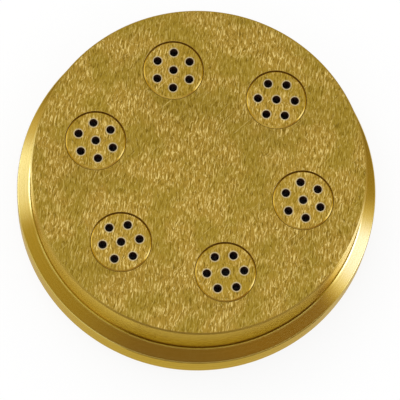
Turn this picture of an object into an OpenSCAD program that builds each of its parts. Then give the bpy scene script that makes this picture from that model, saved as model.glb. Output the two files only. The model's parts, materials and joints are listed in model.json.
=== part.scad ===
// Extrusion die for long round pasta: a turned brass body that carries a ring of push-in inserts.
// The inlet face lies on z = 0 and the outlet face, where the strands come out, looks up.

/* [Body] */
// Diameter of the flange that drops into the extruder head
flange_d = 110; // [104:1:130]
// Height of the straight rim of the flange
flange_h = 10; // [7:0.5:13]
// Overall height, from inlet face to outlet face
body_h = 30; // [27:0.5:40]
// Width of the shoulder that the ring nut presses on, from the flange in to the nose
shoulder_w = 4.2; // [3:0.1:8]
// Slope of the shoulder, in degrees from level
shoulder_slope = 36; // [20:1:50]
// Radius of the rounded edge between rim and shoulder
rim_edge_r = 0.8; // [0.2:0.1:1.5]
// Fillet radius where the nose rises from the shoulder
foot_r = 1; // [0.5:0.25:4]
// Edge break around the outlet face
face_chamfer = 0.5; // [0.1:0.1:1.5]
// Chamfer around the inlet face
inlet_chamfer = 0.5; // [0.2:0.1:2]

/* [Insert layout] */
// Number of inserts
insert_count = 6; // [3:1:8]
// Pitch circle of the inserts
insert_pcd = 65; // [58:0.5:70]
// Angle of the first insert; the others follow clockwise
first_insert_angle = 120; // [0:1:360]

/* [Insert] */
// Diameter of the barrel that shows on the outlet face
barrel_d = 18.3; // [16:0.1:20]
// Overall height of an insert
insert_h = 16; // [12:0.5:22]
// Height of the collar at its inlet end
collar_h = 5; // [3:0.5:7]
// How far the collar stands out from the barrel
collar_w = 2; // [1.2:0.1:3]
// Edge break around the outlet end
barrel_chamfer = 0.45; // [0.1:0.05:0.8]
// Edge break around the inlet end
collar_chamfer = 0.5; // [0.1:0.1:1]

/* [Pocket fits] */
// Radial gap between barrel and bore
barrel_gap = 0.1; // [0.02:0.01:0.3]
// Radial gap between collar and well, a close push fit
collar_gap = 0.05; // [0.02:0.01:0.2]
// Lead-in chamfer at the mouth of each well
well_chamfer = 0.6; // [0.2:0.1:1]

/* [Strand holes] */
// Diameter of the outlet, which sets the thickness of the strand
strand_d = 2.4; // [1:0.1:3]
// Length of the straight outlet
land_l = 4; // [2:0.5:7]
// Diameter of the feed hole drilled from the inlet end
feed_d = 4.2; // [3.2:0.1:4.6]
// Point angle of the drill that makes the feed hole
drill_point = 118; // [90:1:140]
// Edge break at the mouth of each feed hole
feed_chamfer = 0.25; // [0.1:0.05:0.4]
// Holes in the ring around the centre hole
ring_holes = 6; // [3:1:6]
// Pitch circle of that ring
hole_pcd = 11.2; // [10:0.1:11.6]

/* [Hidden] */
$fn = 128;
// What a cutting tool runs past the face that it opens
run_out = 1;
// How far each insert happens to be turned in its pocket
insert_turns = [45, 12.5, -6.5, 21, 25.5, -6.5];
brass_body = [0.68, 0.56, 0.24];
brass_insert = [0.72, 0.60, 0.28];

flange_r = flange_d / 2;
nose_r = flange_r - shoulder_w;
foot_z = flange_h + shoulder_w * tan(shoulder_slope);
// Length from the corner of rim and shoulder to each end of the rounded edge
rim_tangent = rim_edge_r * tan((90 - shoulder_slope) / 2);
// Length from the corner of nose and shoulder to each end of the fillet
foot_tangent = foot_r / tan((90 + shoulder_slope) / 2);

barrel_r = barrel_d / 2;
collar_r = barrel_r + collar_w;
bore_r = barrel_r + barrel_gap;
well_r = collar_r + collar_gap;
insert_z = body_h - insert_h;
seat_z = insert_z + collar_h;

strand_r = strand_d / 2;
feed_r = feed_d / 2;
land_z = body_h - land_l;
cone_z = land_z - (feed_r - strand_r) / tan(drill_point / 2);

// Moves its child onto the pitch circle, to the place of insert i
module at_pocket(i) {
  angle = first_insert_angle - (i - 1) * 360 / insert_count;
  translate([cos(angle), sin(angle), 0] * insert_pcd / 2) children();
}

// Half section of the body before the pockets are bored
module body_section() {
  up_slope = [-cos(shoulder_slope), sin(shoulder_slope)];
  edge_centre = [flange_r - rim_edge_r, flange_h - rim_tangent];
  fillet_centre = [nose_r + foot_r, foot_z + foot_tangent];
  difference() {
    union() {
      polygon([
        [0, 0],
        [flange_r - inlet_chamfer, 0],
        [flange_r, inlet_chamfer],
        [flange_r, edge_centre.y],
        edge_centre,
        [flange_r, flange_h] + rim_tangent * up_slope,
        [nose_r, foot_z] - foot_tangent * up_slope,
        fillet_centre,
        [nose_r, fillet_centre.y],
        [nose_r, body_h - face_chamfer],
        [nose_r - face_chamfer, body_h],
        [0, body_h],
      ]);
      translate(edge_centre) circle(r = rim_edge_r);
    }
    translate(fillet_centre) circle(r = foot_r);
  }
}

// Stepped bore for one insert: lead-in, well for dough and collar, and the bore of the barrel
module pocket() {
  rotate_extrude() polygon([
    [0, -run_out],
    [well_r + well_chamfer + run_out, -run_out],
    [well_r, well_chamfer],
    [well_r, seat_z],
    [bore_r, seat_z],
    [bore_r, body_h + run_out],
    [0, body_h + run_out],
  ]);
}

// Stepped hole for one strand: chamfered feed hole, drill point and straight outlet
module strand_hole() {
  rotate_extrude() polygon([
    [0, insert_z - run_out],
    [feed_r + feed_chamfer + run_out, insert_z - run_out],
    [feed_r, insert_z + feed_chamfer],
    [feed_r, cone_z],
    [strand_r, land_z],
    [strand_r, body_h + run_out],
    [0, body_h + run_out],
  ]);
}

// Turned plug of one insert, with its collar on the seat of the pocket
module insert_blank() {
  rotate_extrude() polygon([
    [0, insert_z],
    [collar_r - collar_chamfer, insert_z],
    [collar_r, insert_z + collar_chamfer],
    [collar_r, seat_z],
    [barrel_r, seat_z],
    [barrel_r, body_h - barrel_chamfer],
    [barrel_r - barrel_chamfer, body_h],
    [0, body_h],
  ]);
}

module die_body() {
  color(brass_body)
    difference() {
      rotate_extrude() body_section();
      for (i = [1:insert_count])
        at_pocket(i) pocket();
    }
}

module insert(i) {
  turn = insert_turns[(i - 1) % len(insert_turns)];
  color(brass_insert)
    at_pocket(i)
      rotate(turn)
        difference() {
          insert_blank();
          strand_hole();
          for (k = [1:ring_holes])
            rotate(k * 360 / ring_holes)
              translate([hole_pcd / 2, 0, 0])
                strand_hole();
        }
}

die_body();
for (i = [1:insert_count])
  insert(i);
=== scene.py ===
import json
import math

import bmesh
import bpy
import numpy as np
from mathutils import Matrix, Vector
from mathutils.geometry import delaunay_2d_cdt


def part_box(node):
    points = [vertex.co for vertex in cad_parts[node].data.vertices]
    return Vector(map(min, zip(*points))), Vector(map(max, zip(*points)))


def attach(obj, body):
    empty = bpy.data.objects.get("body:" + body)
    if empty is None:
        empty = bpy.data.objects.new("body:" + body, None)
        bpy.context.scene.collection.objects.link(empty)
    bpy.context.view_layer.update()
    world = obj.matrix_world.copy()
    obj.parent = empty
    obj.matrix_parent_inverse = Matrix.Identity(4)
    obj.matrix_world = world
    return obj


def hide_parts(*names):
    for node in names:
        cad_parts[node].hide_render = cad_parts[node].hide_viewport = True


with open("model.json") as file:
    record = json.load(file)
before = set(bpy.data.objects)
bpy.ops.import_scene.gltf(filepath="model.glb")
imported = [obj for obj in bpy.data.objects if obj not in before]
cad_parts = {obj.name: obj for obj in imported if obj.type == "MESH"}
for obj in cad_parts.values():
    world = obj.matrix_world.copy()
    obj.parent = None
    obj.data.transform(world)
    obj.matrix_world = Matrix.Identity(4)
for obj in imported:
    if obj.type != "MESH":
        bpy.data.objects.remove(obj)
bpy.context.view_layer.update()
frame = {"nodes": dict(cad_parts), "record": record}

# The die body: one disc of brass, turned with a flange, a conical shoulder for the ring nut and a raised
# nose, then bored through for the inserts. Rim and nose keep a satin polish over fine turning marks, and the
# outlet face has been scoured all over with short strokes. The turned zones are copies of one brass, each
# painted lighter or darker for the light it shows, and the rougher bores are painted dark as shade.
MM = 0.001
mounts = {mount["name"]: mount for mount in frame["record"]["mounts"]}
insert_names = sorted(name for name in frame["nodes"] if name.startswith("insert_"))

body_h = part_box("die_body")[1].z
flange_r = mounts["flange_rim"]["dims"]["r_mm"] * MM
nose_r = mounts["nose"]["dims"]["r_mm"] * MM
flange_h = 10 * MM
shoulder_slope = 36
foot_r = 1 * MM
run_up_r = 5 * MM
run_up_slope = 45
face_chamfer = 0.5 * MM
rim_edge_r = 0.8 * MM
inlet_chamfer = 0.5 * MM
bore_r = 9.25 * MM
mouth_edge_r = 0.12 * MM
well_r = 11.2 * MM
well_chamfer = 0.6 * MM
seat_z = 19 * MM
same_point = 1e-9


def straight(start, end, steps=14):
    """Points on a straight line, crowded towards both ends so that smooth shading stays flat between."""
    t = (1 - np.cos(np.linspace(0, np.pi, steps))) / 2
    return np.outer(1 - t, start) + np.outer(t, end)


def arc(centre, radius, from_deg, to_deg, steps=9):
    """Points on a circle: centre plus radius times the cosine and sine of an even run of angles."""
    angle = np.radians(np.linspace(from_deg, to_deg, steps))
    return np.column_stack([centre[0] + radius * np.cos(angle), centre[1] + radius * np.sin(angle)])


def outline(*stretches):
    """One profile of (radius, height) points from its stretches, with the doubled joints taken out."""
    points = np.vstack(stretches)
    step = np.linalg.norm(np.diff(points, axis=0), axis=1)
    return points[np.r_[True, step > same_point]]


# Between shoulder and nose lie two arcs that touch: a gentle run-up, and the tight fillet of the foot. The
# foot's centre is as high as it has to be for the run-up to touch the shoulder as well.
slope = math.radians(shoulder_slope)
shoulder_out = np.array([math.sin(slope), math.cos(slope)])
rim_edge = np.array([flange_r - rim_edge_r, flange_h - rim_edge_r * math.tan(math.pi / 4 - slope / 2)])
foot_z = flange_h + (flange_r - nose_r) * math.tan(slope)
run_up_out = np.array([math.sin(math.radians(run_up_slope)), math.cos(math.radians(run_up_slope))])
run_up_gain = run_up_r - (run_up_r - foot_r) * math.cos(math.radians(run_up_slope - shoulder_slope))
foot = np.array([nose_r + foot_r, foot_z + (run_up_gain - foot_r * math.sin(slope)) / math.cos(slope)])
run_up = foot + (run_up_r - foot_r) * run_up_out
flange_profile = outline(
    straight((flange_r - inlet_chamfer, 0), (flange_r, inlet_chamfer), steps=4),
    straight((flange_r, inlet_chamfer), (flange_r, rim_edge[1])),
)
shoulder_profile = outline(
    arc(rim_edge, rim_edge_r, 0, 90 - shoulder_slope),
    straight(rim_edge + rim_edge_r * shoulder_out, run_up - run_up_r * shoulder_out),
    arc(run_up, run_up_r, 270 - shoulder_slope, 270 - run_up_slope),
)
foot_profile = arc(foot, foot_r, 270 - run_up_slope, 180, steps=11)
nose_profile = straight((nose_r, foot[1]), (nose_r, body_h - face_chamfer))
edge_profile = straight((nose_r, body_h - face_chamfer), (nose_r - face_chamfer, body_h), steps=4)
mouth_profile = arc((bore_r + mouth_edge_r, body_h - mouth_edge_r), mouth_edge_r, 90, 180, steps=6)
bore_profile = straight((bore_r, body_h - mouth_edge_r), (bore_r, seat_z))
well_profile = outline(
    straight((bore_r, seat_z), (well_r, seat_z), steps=4),
    straight((well_r, seat_z), (well_r, well_chamfer)),
    straight((well_r, well_chamfer), (well_r + well_chamfer, 0), steps=4),
)


def ring(radius, steps, axis=(0, 0)):
    """Even points of a level circle about a vertical axis."""
    angle = np.linspace(0, 2 * np.pi, steps, endpoint=False)
    return np.column_stack([axis[0] + radius * np.cos(angle), axis[1] + radius * np.sin(angle)])


def revolve(profile, steps, axis=(0, 0)):
    """Grid of a profile carried round a vertical axis: each (radius, height) becomes a level ring."""
    angle = np.linspace(0, 2 * np.pi, steps, endpoint=False)
    radius, height = profile[:, :1], profile[:, 1:]
    x = axis[0] + radius * np.cos(angle)
    y = axis[1] + radius * np.sin(angle)
    points = np.stack([x, y, np.broadcast_to(height, x.shape)], axis=-1).reshape(-1, 3)
    row, column = np.meshgrid(np.arange(len(profile) - 1) * steps, np.arange(steps), indexing="ij")
    after = (column + 1) % steps
    faces = np.stack([row + column, row + after, row + steps + after, row + steps + column], axis=-1)
    return points, faces.reshape(-1, 4)


def plate(height, outer, holes):
    """Level plate of triangles inside a ring of points, without those whose middle lies in a round hole."""
    rings = [outer, *holes]
    ends = np.cumsum([len(points) for points in rings]).tolist()
    starts = [0, *ends[:-1]]
    edges = [(start, end - 1) for start, end in zip(starts, ends)]
    edges += [(i, i + 1) for start, end in zip(starts, ends) for i in range(start, end - 1)]
    corners = [Vector(point) for point in np.vstack(rings)]
    inside_edges = 1
    flat, _, triangles, *_ = delaunay_2d_cdt(corners, edges, [], inside_edges, same_point)
    flat, triangles = np.array([point[:] for point in flat]), np.array(triangles)
    middle = flat[triangles].mean(axis=1)
    kept = np.ones(len(triangles), bool)
    for hole in holes:
        centre = hole.mean(axis=0)
        kept &= np.linalg.norm(middle - centre, axis=1) > np.linalg.norm(hole[0] - centre)
    return np.column_stack([flat, np.full(len(flat), height)]), triangles[kept]


rim_steps = 360
pocket_steps = 144
unworn = 0.0
FLANGE, SHOULDER, NOSE, FACE, WELL, EDGE, FOOT, BORE = range(8)
pocket_axes = [((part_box(name)[0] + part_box(name)[1]) / 2).xy for name in insert_names]
mouths = [ring(bore_r + mouth_edge_r, pocket_steps, axis) for axis in pocket_axes]
wells = [ring(well_r + well_chamfer, pocket_steps, axis) for axis in pocket_axes]
body_patches = [
    (*revolve(flange_profile, rim_steps), FLANGE, unworn),
    (*revolve(shoulder_profile, rim_steps), SHOULDER, unworn),
    (*revolve(foot_profile, rim_steps), FOOT, unworn),
    (*revolve(nose_profile, rim_steps), NOSE, unworn),
    (*revolve(edge_profile, rim_steps), EDGE, unworn),
    (*plate(body_h, ring(nose_r - face_chamfer, rim_steps), mouths), FACE, unworn),
    (*plate(0.0, ring(flange_r - inlet_chamfer, rim_steps), wells), FLANGE, unworn),
]
for profile, slot in ((mouth_profile, EDGE), (bore_profile, BORE), (well_profile, WELL)):
    body_patches += [(*revolve(profile, pocket_steps, axis), slot, unworn) for axis in pocket_axes]


def add(tree, kind, inputs=None, **settings):
    """Adds a shader node, sets its properties, and gives each input a value or another node's output."""
    made = tree.nodes.new(kind)
    for name, value in settings.items():
        setattr(made, name, value)
    for name, value in (inputs or {}).items():
        if isinstance(value, bpy.types.NodeSocket):
            tree.links.new(value, made.inputs[name])
        else:
            made.inputs[name].default_value = value
    return made


def calc(tree, operation, *values):
    """One Math node, and its result."""
    return add(tree, "ShaderNodeMath", dict(enumerate(values)), operation=operation).outputs[0]


def ramp(tree, value, low, high, bottom=0.0, top=1.0):
    """A smooth step of a value, from bottom at low to top at high."""
    limits = {"Value": value, "From Min": low, "From Max": high, "To Min": bottom, "To Max": top}
    return add(tree, "ShaderNodeMapRange", limits, interpolation_type="SMOOTHSTEP").outputs[0]


def new_group(name, inputs, outputs):
    """Starts a node group with float inputs (name to default) and float outputs."""
    group = bpy.data.node_groups.new(name, "ShaderNodeTree")
    for label, value in inputs.items():
        socket = group.interface.new_socket(label, in_out="INPUT", socket_type="NodeSocketFloat")
        socket.default_value = value
    for label in outputs:
        group.interface.new_socket(label, in_out="OUTPUT", socket_type="NodeSocketFloat")
    return group, group.nodes.new("NodeGroupInput").outputs, group.nodes.new("NodeGroupOutput").inputs


# Turning marks run round the die's axis, so they depend on radius less height alone, which changes along
# nearly every stretch of the profile. Fine marks ride on broader passes of the tool.
mark_rates = {"Marks": 1.0, "Passes": 0.22}
turning_marks, given, result = new_group("turning_marks", {"Per mm": 4.0}, list(mark_rates))
place = add(turning_marks, "ShaderNodeTexCoord").outputs["Object"]
apart = add(turning_marks, "ShaderNodeSeparateXYZ", {"Vector": place}).outputs
level = add(turning_marks, "ShaderNodeCombineXYZ", {"X": apart["X"], "Y": apart["Y"]}).outputs[0]
radius = add(turning_marks, "ShaderNodeVectorMath", {0: level}, operation="LENGTH").outputs["Value"]
along = calc(turning_marks, "MULTIPLY", calc(turning_marks, "SUBTRACT", radius, apart["Z"]), 1 / MM)
for label, share in mark_rates.items():
    rate = calc(turning_marks, "MULTIPLY", given["Per mm"], share)
    sockets = {"W": calc(turning_marks, "MULTIPLY", along, rate), "Scale": 1.0, "Detail": 2.0}
    noise = add(turning_marks, "ShaderNodeTexNoise", sockets, noise_dimensions="1D")
    turning_marks.links.new(noise.outputs[0], result[label])

# Scour strokes are short, uneven streaks that lie nearly one way, because the noise they are cut from is
# stretched along the stroke and swayed. Two layers lean apart, and a third is long, thin and rare.
stroke_sways = ((130.0, 1.6 * MM), (520.0, 0.3 * MM))
middle_grey = (0.5, 0.5, 0.5)
scour_strokes, given, result = new_group(
    "scour_strokes", {"Width mm": 0.4, "Length mm": 1.6, "Lean deg": 96.0}, ["Bright", "Dark", "Patches"])
place = add(scour_strokes, "ShaderNodeTexCoord").outputs["Object"]
swayed = place
for scale, reach in stroke_sways:
    drift = add(scour_strokes, "ShaderNodeTexNoise", {"Vector": place, "Scale": scale, "Detail": 1.0})
    sockets = {0: drift.outputs["Color"], 1: middle_grey}
    centred = add(scour_strokes, "ShaderNodeVectorMath", sockets, operation="SUBTRACT").outputs[0]
    sockets = {0: centred, 1: (reach, reach, reach), 2: swayed}
    swayed = add(scour_strokes, "ShaderNodeVectorMath", sockets, operation="MULTIPLY_ADD").outputs[0]


def streaks(width_share, length_share, extra_lean, shift):
    """Flat noise drawn out along y to shares of a stroke's width and length, and turned to a lean from x."""
    lean = calc(scour_strokes, "ADD", given["Lean deg"], extra_lean - 90.0)
    turn = calc(scour_strokes, "MULTIPLY", lean, math.radians(1))
    across = calc(scour_strokes, "MULTIPLY", given["Width mm"], width_share * MM)
    length = calc(scour_strokes, "MULTIPLY", given["Length mm"], length_share * MM)
    rotation = add(scour_strokes, "ShaderNodeCombineXYZ", {"Z": turn}).outputs[0]
    scale = add(scour_strokes, "ShaderNodeCombineXYZ", {"X": across, "Y": length, "Z": 1.0}).outputs[0]
    sockets = {"Vector": swayed, "Location": (shift, shift, 0), "Rotation": rotation, "Scale": scale}
    drawn_out = add(scour_strokes, "ShaderNodeMapping", sockets, vector_type="TEXTURE").outputs[0]
    sockets = {"Vector": drawn_out, "Scale": 1.0, "Detail": 2.0, "Roughness": 0.6, "Distortion": 0.5}
    return add(scour_strokes, "ShaderNodeTexNoise", sockets, noise_dimensions="2D").outputs[0]


steep = streaks(width_share=1.0, length_share=1.0, extra_lean=0, shift=0.0)
slack = streaks(width_share=1.3, length_share=0.8, extra_lean=14, shift=0.31)
rare = streaks(width_share=0.9, length_share=6.0, extra_lean=-38, shift=0.67)
sockets = {"Vector": place, "Scale": 110.0, "Detail": 3.0}
worn_patches = add(scour_strokes, "ShaderNodeTexNoise", sockets).outputs[0]
bright_steep = ramp(scour_strokes, steep, low=0.55, high=0.70)
bright_slack = ramp(scour_strokes, slack, low=0.59, high=0.73)
bright_rare = ramp(scour_strokes, rare, low=0.68, high=0.80, bottom=0.0, top=0.7)
patch_share = ramp(scour_strokes, worn_patches, low=0.36, high=0.62, bottom=0.35, top=1.0)
bright = calc(scour_strokes, "MAXIMUM", bright_steep, bright_slack)
bright = calc(scour_strokes, "MULTIPLY", bright, patch_share)
bright = calc(scour_strokes, "MAXIMUM", bright, bright_rare)
dark_steep = ramp(scour_strokes, steep, low=0.45, high=0.27)
dark_slack = ramp(scour_strokes, slack, low=0.42, high=0.26)
dark = calc(scour_strokes, "MAXIMUM", dark_steep, dark_slack)
for label, value in (("Bright", bright), ("Dark", dark), ("Patches", worn_patches)):
    scour_strokes.links.new(value, result[label])

# A Mix node keeps the sockets of its two colours, and of their mix, behind those for values and vectors.
FIRST_COLOUR, SECOND_COLOUR, MIXED_COLOUR = 6, 7, 2


def tint(tree, amount, colour, other):
    """A mix of two colours, the second by the given amount."""
    sockets = {"Factor": amount, FIRST_COLOUR: colour, SECOND_COLOUR: other}
    return add(tree, "ShaderNodeMix", sockets, data_type="RGBA").outputs[MIXED_COLOUR]


def empty_tree(owner):
    """The node tree of a material or of the world, switched on and cleared."""
    owner.use_nodes = True
    owner.node_tree.nodes.clear()
    return owner.node_tree


def new_material(name):
    """A node material that holds only its Principled shader, wired to the output."""
    material = bpy.data.materials.new(name)
    tree = empty_tree(material)
    shader = tree.nodes.new("ShaderNodeBsdfPrincipled")
    output = tree.nodes.new("ShaderNodeOutputMaterial")
    tree.links.new(shader.outputs[0], output.inputs["Surface"])
    return material, tree, shader


ridge_polish = 0.03
groove_dulling = 0.04


def turned_brass(name, deep, light, edge, roughness, marks_per_mm):
    """Satin brass from the lathe: marks round the axis, gloss drawn out across them, a grazing colour."""
    material, tree, shader = new_material(name)
    marks = add(tree, "ShaderNodeGroup", node_tree=turning_marks)
    marks.inputs["Per mm"].default_value = marks_per_mm
    colour = tint(tree, ramp(tree, marks.outputs["Passes"], low=0.35, high=0.65), deep, light)
    rough = ramp(
        tree, marks.outputs["Marks"], low=0.3, high=0.7,
        bottom=roughness - ridge_polish, top=roughness + groove_dulling)
    sockets = {"Height": marks.outputs["Marks"], "Strength": 0.06, "Distance": 0.01 * MM}
    bump = add(tree, "ShaderNodeBump", sockets)
    around_axis = add(tree, "ShaderNodeTangent", direction_type="RADIAL", axis="Z")
    tree.links.new(colour, shader.inputs["Base Color"])
    tree.links.new(rough, shader.inputs["Roughness"])
    tree.links.new(bump.outputs[0], shader.inputs["Normal"])
    tree.links.new(around_axis.outputs[0], shader.inputs["Tangent"])
    shader.inputs["Metallic"].default_value = 1.0
    shader.inputs["Specular Tint"].default_value = edge
    shader.inputs["Anisotropic"].default_value = 0.6
    shader.inputs["Anisotropic Rotation"].default_value = 0.25
    return material


# Colours of the scour strokes: the marks are real, but the bright colour is partly a painted glint of light
# and the dark colour partly painted shade beside each mark.
stroke_shade_colour = (0.21, 0.13, 0.010, 1)
stroke_glint_colour = (0.90, 0.70, 0.24, 1)
worn_lip = (0.66, 0.585, 0.38, 1)


def scoured_brass(name, width, length, lean, amount, ground, warm_ground):
    """Flat brass dulled by short strokes: bright and dark streaks on an olive ground with warm patches.
    The streaks are real scour marks, with painted glints in the bright ones and painted shade in the dark
    ones.
    """
    material, tree, shader = new_material(name)
    scour = add(tree, "ShaderNodeGroup", node_tree=scour_strokes)
    scour.inputs["Width mm"].default_value = width
    scour.inputs["Length mm"].default_value = length
    scour.inputs["Lean deg"].default_value = lean
    wear = add(tree, "ShaderNodeAttribute", attribute_name="wear").outputs["Fac"]
    warm = ramp(tree, scour.outputs["Patches"], low=0.38, high=0.62)
    stroke_shade = calc(tree, "MULTIPLY", scour.outputs["Dark"], amount)
    stroke = calc(tree, "MULTIPLY", scour.outputs["Bright"], amount)
    colour = tint(tree, warm, ground, warm_ground)
    colour = tint(tree, stroke_shade, colour, stroke_shade_colour)
    colour = tint(tree, stroke, colour, stroke_glint_colour)
    colour = tint(tree, wear, colour, worn_lip)
    rough = ramp(tree, stroke, low=0.0, high=1.0, bottom=0.42, top=0.30)
    height = calc(tree, "SUBTRACT", scour.outputs["Bright"], scour.outputs["Dark"])
    bump = add(tree, "ShaderNodeBump", {"Height": height, "Strength": 0.5, "Distance": 0.04 * MM})
    tree.links.new(colour, shader.inputs["Base Color"])
    tree.links.new(rough, shader.inputs["Roughness"])
    tree.links.new(bump.outputs[0], shader.inputs["Normal"])
    shader.inputs["Metallic"].default_value = 1.0
    return material


# The turned zones below are one brass. Each copy has its colour and grazing tint painted lighter or darker
# for the light and reflections that zone shows: the nose lightest, the flange and shoulder between.
golden_edge = (0.76, 0.61, 0.27, 1)
pale_edge = (0.85, 0.72, 0.38, 1)
wall_edge = (0.80, 0.68, 0.36, 1)
bore_shade_tint = (0.45, 0.32, 0.11, 1)
foot_edge = (0.62, 0.47, 0.13, 1)
flange_brass = turned_brass(
    "flange_brass", deep=(0.50, 0.335, 0.052, 1), light=(0.55, 0.37, 0.06, 1),
    edge=wall_edge, roughness=0.24, marks_per_mm=5.0)
shoulder_brass = turned_brass(
    "shoulder_brass", deep=(0.54, 0.405, 0.11, 1), light=(0.58, 0.43, 0.13, 1),
    edge=golden_edge, roughness=0.20, marks_per_mm=5.0)
nose_brass = turned_brass(
    "nose_brass", deep=(0.625, 0.465, 0.122, 1), light=(0.665, 0.495, 0.142, 1),
    edge=pale_edge, roughness=0.20, marks_per_mm=5.0)
# The wells and bores are painted darker than the rest, the bores near black, as painted shade in these
# recesses and in the gap round each insert; both are also rougher.
well_shade_brass = turned_brass(
    "well_shade_brass", deep=(0.30, 0.19, 0.04, 1), light=(0.38, 0.25, 0.05, 1),
    edge=golden_edge, roughness=0.38, marks_per_mm=3.0)
bore_shade_brass = turned_brass(
    "bore_shade_brass", deep=(0.12, 0.065, 0.018, 1), light=(0.17, 0.095, 0.025, 1),
    edge=bore_shade_tint, roughness=0.38, marks_per_mm=3.0)
# The foot is painted darker, as painted shade and dark reflection in the corner under the nose.
foot_shade_brass = turned_brass(
    "foot_shade_brass", deep=(0.38, 0.245, 0.025, 1), light=(0.41, 0.265, 0.03, 1),
    edge=foot_edge, roughness=0.22, marks_per_mm=5.0)
# The face chamfer and the pocket mouths are painted darker, as a painted dark reflection line along those
# edges.
darkened_edge_brass = turned_brass(
    "darkened_edge_brass", deep=(0.40, 0.265, 0.05, 1), light=(0.46, 0.30, 0.06, 1),
    edge=golden_edge, roughness=0.28, marks_per_mm=4.0)
face_brass = scoured_brass(
    "face_brass", width=0.40, length=2.3, lean=96.0, amount=0.86,
    ground=(0.395, 0.265, 0.030, 1), warm_ground=(0.46, 0.288, 0.042, 1))
body_materials = {
    FLANGE: flange_brass,
    SHOULDER: shoulder_brass,
    NOSE: nose_brass,
    FACE: face_brass,
    WELL: well_shade_brass,
    EDGE: darkened_edge_brass,
    FOOT: foot_shade_brass,
    BORE: bore_shade_brass,
}

weld_gap = 1e-7
crease_angle = math.radians(28)


def put_in(name, data):
    """A new object for a mesh, a lamp or a camera, linked into the scene at the origin."""
    made = bpy.data.objects.new(name, data)
    bpy.context.scene.collection.objects.link(made)
    return made


def make_piece(name, patches, materials):
    """One closed mesh from patches of (points, faces, slot, wear at each point) and a material per slot."""
    first = np.cumsum([0] + [len(points) for points, *_ in patches])
    points = np.vstack([patch[0] for patch in patches])
    faces = [face for at, patch in zip(first, patches) for face in (patch[1] + at).tolist()]
    slots = np.concatenate([np.broadcast_to(patch[2], len(patch[1])) for patch in patches])
    wear = np.concatenate([np.broadcast_to(patch[3], len(patch[0])) for patch in patches])
    mesh = bpy.data.meshes.new(name)
    mesh.from_pydata(points.tolist(), [], faces)
    mesh.polygons.foreach_set("material_index", slots.astype(np.int32))
    mesh.attributes.new("wear", "FLOAT", "POINT").data.foreach_set("value", wear.astype(np.float32))
    for slot in sorted(materials):
        mesh.materials.append(materials[slot])
    shell = bmesh.new()
    shell.from_mesh(mesh)
    bmesh.ops.remove_doubles(shell, verts=shell.verts, dist=weld_gap)
    bmesh.ops.recalc_face_normals(shell, faces=shell.faces)
    shell.to_mesh(mesh)
    shell.free()
    mesh.shade_smooth()
    mesh.set_sharp_from_angle(angle=crease_angle)
    return put_in(name, mesh)


die_body = make_piece("turned_die_body", body_patches, body_materials)
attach(die_body, "root")
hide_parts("die_body")

# The inserts: small brass plugs, turned with a collar that seats inside the well and drilled with a centre
# hole and a ring of holes for the strands. They are pushed in from the inlet side until they lie flush.
barrel_r = 9.15 * MM
barrel_chamfer = 0.45 * MM
edge_step = 0.01 * MM
edge_drop = 0.24 * MM
collar_r = 11.15 * MM
collar_chamfer = 0.5 * MM
insert_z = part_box(insert_names[0])[0].z
strand_r = 1.2 * MM
strand_edge_r = 0.06 * MM
lip_w = 0.4 * MM
lip_wear_power = 0.8
land_l = 4 * MM
feed_r = 2.1 * MM
feed_chamfer = 0.25 * MM
drill_point = 118
hole_ring_r = 5.6 * MM
ring_holes = 6
insert_turns = (45, 12.5, -6.5, 21, 25.5, -6.5)
hole_steps = 48

land_z = body_h - land_l
cone_z = land_z - (feed_r - strand_r) / math.tan(math.radians(drill_point) / 2)
lip_r = strand_r + strand_edge_r
barrel_profile = outline(
    straight((collar_r - collar_chamfer, insert_z), (collar_r, insert_z + collar_chamfer), steps=4),
    straight((collar_r, insert_z + collar_chamfer), (collar_r, seat_z), steps=6),
    straight((collar_r, seat_z), (barrel_r, seat_z), steps=4),
    straight((barrel_r, seat_z), (barrel_r, body_h - barrel_chamfer)),
    straight((barrel_r, body_h - barrel_chamfer), (barrel_r - edge_step, body_h - edge_drop), steps=3),
    straight((barrel_r - edge_step, body_h - edge_drop), (barrel_r - barrel_chamfer, body_h), steps=4),
)
lip_profile = straight((lip_r + lip_w, body_h), (lip_r, body_h), steps=5)
lip_wear = np.repeat(np.linspace(0, 1, len(lip_profile)) ** lip_wear_power, hole_steps)
hole_profile = outline(
    arc((lip_r, body_h - strand_edge_r), strand_edge_r, 90, 180, steps=5),
    straight((strand_r, body_h - strand_edge_r), (strand_r, land_z), steps=8),
    straight((strand_r, land_z), (feed_r, cone_z), steps=3),
    straight((feed_r, cone_z), (feed_r, insert_z + feed_chamfer), steps=8),
    straight((feed_r, insert_z + feed_chamfer), (feed_r + feed_chamfer, insert_z), steps=3),
)

insert_face = scoured_brass(
    "insert_face_brass", width=0.40, length=2.2, lean=98.0, amount=0.9,
    ground=(0.44, 0.285, 0.030, 1), warm_ground=(0.50, 0.31, 0.042, 1))
# The insert sides are painted a lighter brass so that the edges of the inserts show as bright arcs: painted
# light.
insert_side = turned_brass(
    "insert_side_brass", deep=(0.56, 0.39, 0.07, 1), light=(0.62, 0.43, 0.08, 1),
    edge=golden_edge, roughness=0.18, marks_per_mm=4.0)

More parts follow.
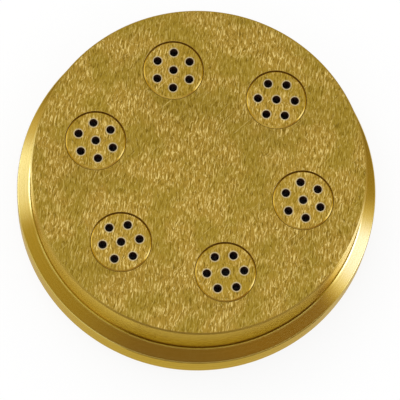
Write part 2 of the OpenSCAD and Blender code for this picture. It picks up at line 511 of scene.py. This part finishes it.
# The holes are painted near black and unreflecting inside, as painted shade down the narrow holes, and turn
# back to plain brass towards the inlet mouth.
hole_shade_reach = 3 * MM
unshaded_reach = 0.3 * MM
deep_hole_shade = (0.050, 0.020, 0.012, 1)
light_hole_shade = (0.090, 0.038, 0.022, 1)
unshaded_hole_brass = (0.36, 0.24, 0.05, 1)
hole_brass, tree, shader = new_material("strand_hole_brass")
place = add(tree, "ShaderNodeTexCoord").outputs["Object"]
height = add(tree, "ShaderNodeSeparateXYZ", {"Vector": place}).outputs["Z"]
speckle = add(tree, "ShaderNodeTexNoise", {"Vector": place, "Scale": 900.0, "Detail": 3.0}).outputs[0]
unshaded = ramp(tree, height, low=insert_z + hole_shade_reach, high=insert_z + unshaded_reach)
hole_shade = tint(tree, speckle, deep_hole_shade, light_hole_shade)
rough = ramp(tree, speckle, low=0.3, high=0.7, bottom=0.6, top=0.8)
tree.links.new(tint(tree, unshaded, hole_shade, unshaded_hole_brass), shader.inputs["Base Color"])
tree.links.new(rough, shader.inputs["Roughness"])
tree.links.new(unshaded, shader.inputs["Metallic"])
shader.inputs["Specular IOR Level"].default_value = 0.02

SIDE, OUTLET, HOLE = range(3)
insert_materials = {SIDE: insert_side, OUTLET: insert_face, HOLE: hole_brass}
for name, axis, turn in zip(insert_names, pocket_axes, insert_turns):
    ring_angles = np.radians(turn) + np.linspace(0, 2 * np.pi, ring_holes, endpoint=False)
    around = np.column_stack([np.cos(ring_angles), np.sin(ring_angles)]) * hole_ring_r
    hole_axes = np.array(axis) + np.vstack([[(0, 0)], around])
    lips = [ring(lip_profile[0, 0], hole_steps, hole) for hole in hole_axes]
    feeds = [ring(feed_r + feed_chamfer, hole_steps, hole) for hole in hole_axes]
    patches = [
        (*revolve(barrel_profile, pocket_steps, axis), SIDE, unworn),
        (*plate(body_h, ring(barrel_r - barrel_chamfer, pocket_steps, axis), lips), OUTLET, unworn),
        (*plate(insert_z, ring(collar_r - collar_chamfer, pocket_steps, axis), feeds), SIDE, unworn),
    ]
    for hole in hole_axes:
        patches.append((*revolve(lip_profile, hole_steps, hole), OUTLET, lip_wear))
        patches.append((*revolve(hole_profile, hole_steps, hole), HOLE, unworn))
    insert = make_piece("drilled_" + name, patches, insert_materials)
    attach(insert, "root")
    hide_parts(name)

# The floor: a wide, flat, pale board that the die stands on. Seen by the camera and in the brass it is
# partly lit from within, so that it stays white beside the die and still takes a soft shadow. From below
# it is clear.
floor_size = 3.0
floor_drop = 0.02 * MM
floor_white = (0.92, 0.92, 0.92, 1)
glow_white = (1, 1, 1, 1)
glow_share = 0.85


def seen_rays(tree):
    """1 for the rays of the camera, of gloss and through glass, and 0 for those of soft light."""
    path = add(tree, "ShaderNodeLightPath").outputs
    bent = calc(tree, "MAXIMUM", path["Is Glossy Ray"], path["Is Transmission Ray"])
    return calc(tree, "MAXIMUM", path["Is Camera Ray"], bent)


corners = np.array([(-1, -1), (1, -1), (1, 1), (-1, 1)]) * floor_size / 2
floor_points = np.column_stack([corners, np.full(len(corners), -floor_drop)])
floor_mesh = bpy.data.meshes.new("floor")
floor_mesh.from_pydata(floor_points.tolist(), [], [(0, 1, 2, 3)])
floor_board = bpy.data.materials.new("floor_board")
tree = empty_tree(floor_board)
share = calc(tree, "MULTIPLY", seen_rays(tree), glow_share)
board = add(tree, "ShaderNodeBsdfDiffuse", {"Color": floor_white}).outputs[0]
glow = add(tree, "ShaderNodeEmission", {"Color": glow_white, "Strength": 1.0}).outputs[0]
lit = add(tree, "ShaderNodeMixShader", {0: share, 1: board, 2: glow}).outputs[0]
below = add(tree, "ShaderNodeNewGeometry").outputs["Backfacing"]
clear = add(tree, "ShaderNodeBsdfTransparent").outputs[0]
one_sided = add(tree, "ShaderNodeMixShader", {0: below, 1: lit, 2: clear}).outputs[0]
tree.links.new(one_sided, add(tree, "ShaderNodeOutputMaterial").inputs["Surface"])
floor_mesh.materials.append(floor_board)
floor = put_in("floor", floor_mesh)

# The light: a white surround, and one large soft lamp high up, to the left of the die and a little behind
# it. The lamp itself shows neither in the picture nor in the brass.
surround_light = 0.95
surround_seen = 1.0
lamp_size = 0.8
lamp_radiance = 2.2
lamp_place = (-0.45, 0.35, 1.2)
world = bpy.data.worlds.new("studio")
bpy.context.scene.world = world
tree = empty_tree(world)
strength = ramp(tree, seen_rays(tree), low=0.0, high=1.0, bottom=surround_light, top=surround_seen)
sky = add(tree, "ShaderNodeBackground", {"Color": glow_white, "Strength": strength})
tree.links.new(sky.outputs[0], add(tree, "ShaderNodeOutputWorld").inputs["Surface"])

lamp = bpy.data.lights.new("overhead_softbox", "AREA")
lamp.size = lamp_size
lamp.energy = lamp_radiance * math.pi * lamp_size ** 2
holder = put_in("overhead_softbox", lamp)
holder.location = lamp_place
holder.rotation_euler = (-holder.location).to_track_quat("-Z", "Y").to_euler()
holder.visible_camera = False
holder.visible_glossy = False

# The screen: a round glowing wall about the die, no lamp, that shows only in the brass as painted
# reflections. It is brown before and behind the die and white at both sides, as flags and softboxes stand in
# a product studio. Along its top it is white, and so is the foot of its front.
screen_r = 0.6
screen_top = 52
sweep_steps = 181
rise_steps = 53
# Bearings round the die and lifts above the floor are in degrees. A pair says where a fade starts and ends.
front_left, front_right = (197, 205), (347, 341)
top_lift, foot_lift = (48, 52), (12, 7)
foot_below = 20
foot_white = np.array((1.45, 1.74, 1.85))
left_bearing, right_bearing = 180, 6
side_reach = (16, 8)
side_lift, streak_lift = (15, 10), (9, 5)
side_boost = (1.1, 1.5, 2.6)
streak_boost = (1.0, 1.9, 8.0)
screen_keys = np.array([
    # bearing in degrees, then red, green and blue of the glow there
    (28, 0.55, 0.42, 0.06),
    (42, 0.42, 0.30, 0.04),
    (65, 0.16, 0.09, 0.02),
    (98, 0.08, 0.04, 0.01),
    (135, 0.16, 0.09, 0.02),
    (152, 0.50, 0.38, 0.06),
    (161, 1.05, 0.90, 0.45),
    (171, 1.28, 1.22, 1.02),
    (183, 1.30, 1.25, 1.15),
    (189, 1.25, 1.16, 0.80),
    (195, 0.66, 0.51, 0.08),
    (235, 0.50, 0.37, 0.07),
    (262, 0.31, 0.195, 0.058),
    (290, 0.30, 0.19, 0.055),
    (318, 0.385, 0.235, 0.054),
    (347, 0.38, 0.235, 0.054),
    (351, 0.80, 0.62, 0.10),
    (356, 1.50, 1.42, 1.00),
    (362, 1.80, 2.00, 3.60),
    (374, 1.80, 2.00, 3.60),
    (381, 1.25, 1.10, 0.50),
])


def fade(value, start, end):
    """A smooth step from 0 at the start to 1 at the end."""
    t = np.clip((value - start) / (end - start), 0, 1)
    return t * t * (3 - 2 * t)


def beside(bearing, centre):
    """1 about a bearing and 0 away from it, by the angle between the two, the short way round."""
    return fade(np.abs((bearing - centre + 180) % 360 - 180), *side_reach)


def wire_glow(tree, colour):
    """Wires an even glow in the given colour to the output of a material."""
    glow = add(tree, "ShaderNodeEmission", {"Color": colour, "Strength": 1.0}).outputs[0]
    tree.links.new(glow, add(tree, "ShaderNodeOutputMaterial").inputs["Surface"])


def show_in_brass_only(thing):
    """Hides a thing from the camera, from soft light and from shadows, so that only gloss finds it."""
    thing.visible_camera = False
    thing.visible_diffuse = False
    thing.visible_shadow = False


# The glow's colour, which paints the reflections, goes round with the bearing, is raised low down at both
# sides, and gives way to white along the top and at the foot of the front.
sweep = np.linspace(0, 360, sweep_steps)
rise = np.linspace(0, screen_top, rise_steps)
bearing, lift = (grid.ravel() for grid in np.meshgrid(sweep, rise))
key_bearings = screen_keys[:, 0]
glow_colours = [np.interp(sweep, key_bearings, keys, period=360) for keys in screen_keys[:, 1:].T]
front = fade(bearing, *front_left) * fade(bearing, *front_right)
white = np.maximum(fade(lift, *top_lift), front * fade(lift, *foot_lift))[:, None]
at_left = beside(bearing, left_bearing)
at_right = beside(bearing, right_bearing)
boost = np.outer(np.maximum(at_left, at_right) * fade(lift, *side_lift), side_boost)
boost += np.outer(at_left * fade(lift, *streak_lift), streak_boost)
colour = np.tile(np.column_stack(glow_colours), (rise_steps, 1)) * (1 + boost) * (1 - white)
colour += np.where(lift[:, None] < foot_below, foot_white, 1.0) * white

# The wall is a cylinder: its radius times the cosine and sine of the bearing and the tangent of the lift.
around = np.radians(bearing)
points = screen_r * np.column_stack([np.cos(around), np.sin(around), np.tan(np.radians(lift))])
row_starts = np.arange(rise_steps - 1) * sweep_steps
row, column = np.meshgrid(row_starts, np.arange(sweep_steps - 1), indexing="ij")
low = (row + column).ravel()
faces = np.column_stack([low, low + 1, low + 1 + sweep_steps, low + sweep_steps])
screen_mesh = bpy.data.meshes.new("studio_screen")
screen_mesh.from_pydata(points.tolist(), [], faces.tolist())
glow = screen_mesh.attributes.new("glow", "FLOAT_COLOR", "POINT")
glow.data.foreach_set("color", np.column_stack([colour, np.ones(len(colour))]).ravel())
reflection_screen_glow = bpy.data.materials.new("reflection_screen_glow")
tree = empty_tree(reflection_screen_glow)
wire_glow(tree, add(tree, "ShaderNodeAttribute", attribute_name="glow").outputs["Color"])
screen_mesh.materials.append(reflection_screen_glow)
screen = put_in("studio_screen", screen_mesh)
show_in_brass_only(screen)

# The mat: a glowing brown strip that lies on the floor before the die, a painted dark reflection, so that
# the foot and the upper nose do not mirror the white floor there. It shows only in the brass. Its inner edge
# draws back at both ends.
mat_inner = 0.062
mat_outer = 0.59
mat_lift = 0.1 * MM
mat_from, mat_to = 250, 345
mat_end = 14
mat_taper = 0.06
mat_steps = 52
reflected_brown = (0.24, 0.15, 0.04, 1)
mat_sweep = np.linspace(mat_from, mat_to, mat_steps)
whole = fade(mat_sweep, mat_from, mat_from + mat_end) * fade(mat_sweep, mat_to, mat_to - mat_end)
inner = mat_inner + mat_taper * (1 - whole)
reach = np.concatenate([inner, np.full(mat_steps, mat_outer)])
angle = np.radians(np.tile(mat_sweep, 2))
height = np.full(len(angle), mat_lift)
mat_points = np.column_stack([reach * np.cos(angle), reach * np.sin(angle), height])
first = np.arange(mat_steps - 1)
mat_faces = np.column_stack([first, first + mat_steps, first + mat_steps + 1, first + 1])
mat_mesh = bpy.data.meshes.new("front_mat")
mat_mesh.from_pydata(mat_points.tolist(), [], mat_faces.tolist())
mat_glow = bpy.data.materials.new("mat_glow")
wire_glow(empty_tree(mat_glow), reflected_brown)
mat_mesh.materials.append(mat_glow)
mat = put_in("front_mat", mat_mesh)
show_in_brass_only(mat)

# The camera: a long lens that looks steeply down on the outlet face, a little turned and rolled. It aims
# below the middle of that face, so that the flange has its place in the picture as well.
azimuth = math.radians(8.21)
elevation = math.radians(73.58)
roll = math.radians(8.15)
distance = 1012 * MM
lens_mm = 302.7
sensor_mm = 36.0
aim_right = 0.22 * MM
aim_up = -8.96 * MM
level_reach = math.cos(elevation)
back = Vector((math.sin(azimuth) * level_reach, -math.cos(azimuth) * level_reach, math.sin(elevation)))
level_right = Vector((math.cos(azimuth), math.sin(azimuth), 0))
level_up = back.cross(level_right)
right = level_right * math.cos(roll) + level_up * math.sin(roll)
up = level_up * math.cos(roll) - level_right * math.sin(roll)
face_centre = Vector((0, 0, body_h))
eye = face_centre + back * distance
back = (eye - (face_centre + right * aim_right + up * aim_up)).normalized()
right = (right - back * right.dot(back)).normalized()
axes = Matrix((right, back.cross(right), back)).transposed()
camera_data = bpy.data.cameras.new("camera")
camera_data.lens = lens_mm
camera_data.sensor_width = sensor_mm
camera_data.clip_start = 0.01
camera_data.clip_end = 20
camera = put_in("camera", camera_data)
camera.matrix_world = Matrix.Translation(eye) @ axes.to_4x4()
bpy.context.scene.camera = camera
bpy.context.scene.view_settings.view_transform = "Standard"
